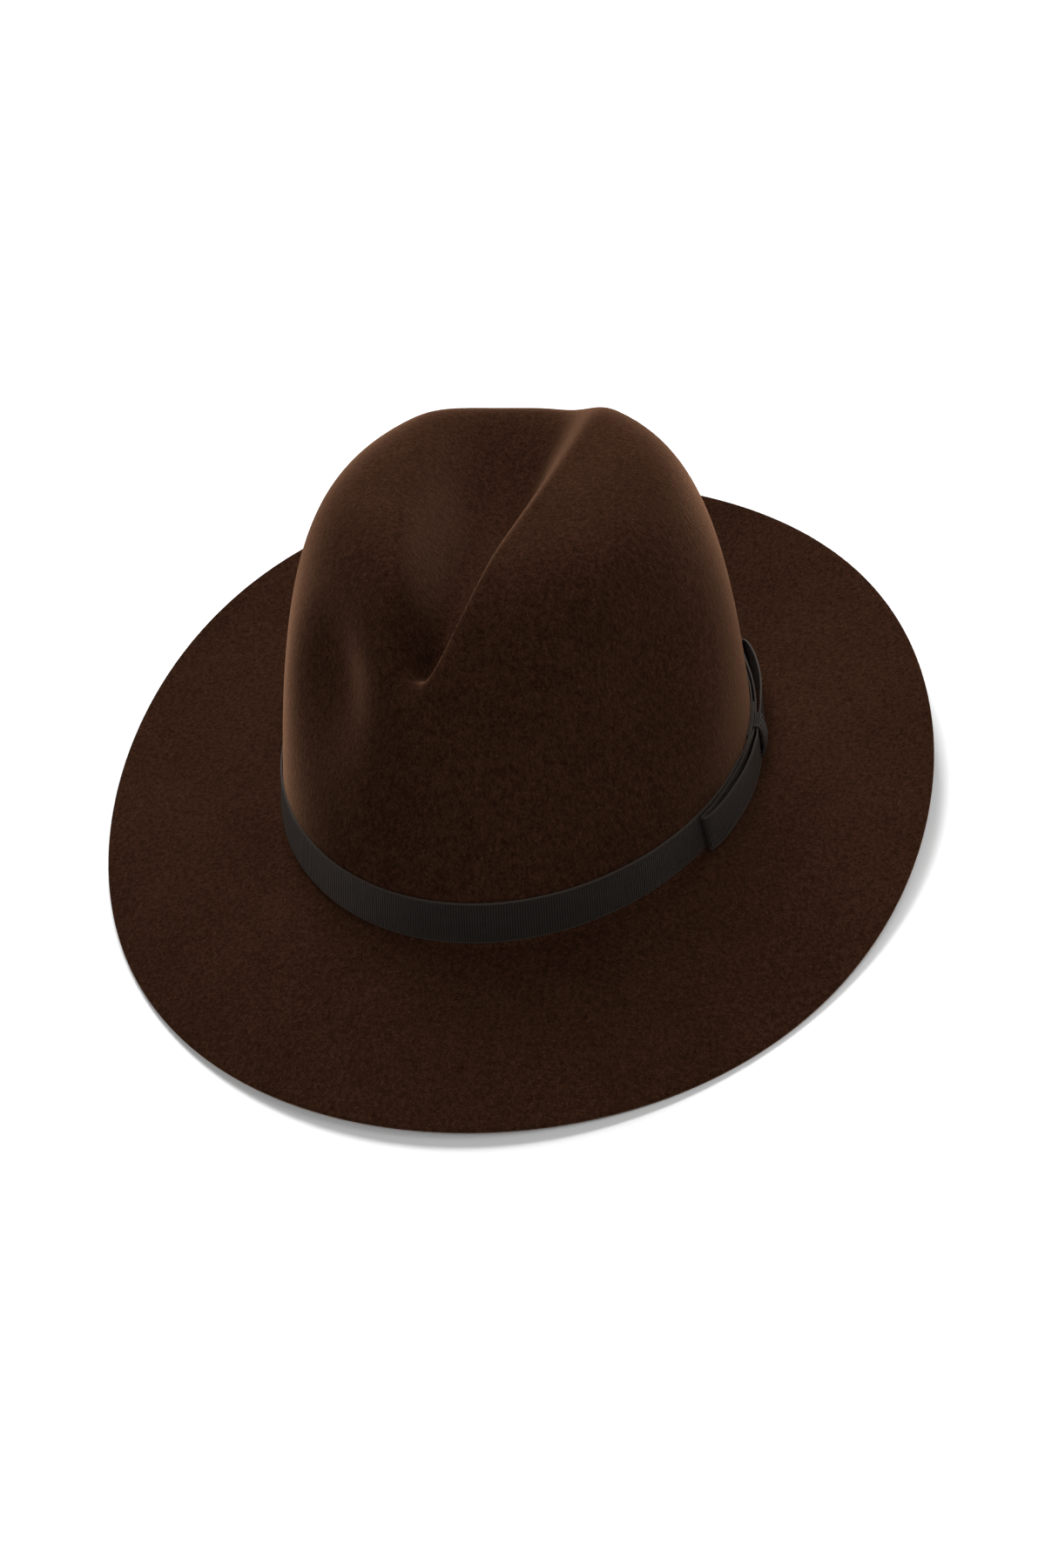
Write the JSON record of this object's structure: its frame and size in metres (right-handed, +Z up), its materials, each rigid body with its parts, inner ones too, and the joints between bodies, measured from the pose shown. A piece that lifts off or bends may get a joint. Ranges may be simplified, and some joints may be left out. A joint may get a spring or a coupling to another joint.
{
  "type": "fedora hat",
  "caption": "Wide-brimmed fur-felt fedora with a creased and pinched crown, a narrow ribbon with a flat side bow, a leather sweatband and a satin lining",
  "frame": {"origin": "On the surface that the hat stands on, under the middle of its overall box", "axes": "+Z up; +Y to the back of the hat, so the front of the brim is at -Y; +X to the wearer's left, where the bow is"},
  "size_m": [0.309, 0.341, 0.1398],
  "materials": {
    "felt": "soft brushed fur felt",
    "ribbon": "ribbed grosgrain, slight satin",
    "thread": "twisted sewing thread",
    "leather": "smooth tanned leather",
    "reed": "matte",
    "tape": "woven cotton tape",
    "lining": "satin",
    "piping": "satin covered cord",
    "ticket": "uncoated card"
  },
  "bodies": {
    "root": {"felt_body": "felt", "ribbon_band": "ribbon", "band_tacks": "thread", "bow_front_loop": "ribbon", "bow_rear_loop": "ribbon", "bow_knot": "ribbon", "bow_stitches": "thread", "sweatband": "leather", "sweatband_reed": "reed", "reed_tape": "tape", "sweatband_stitches": "thread", "sweatband_seam_tape": "tape", "sweatband_bow_loops": "ribbon", "sweatband_bow_knot": "ribbon", "lining_side": "lining", "lining_tip": "lining", "lining_piping": "piping", "size_ticket": "ticket"}
  },
  "joints": []
}
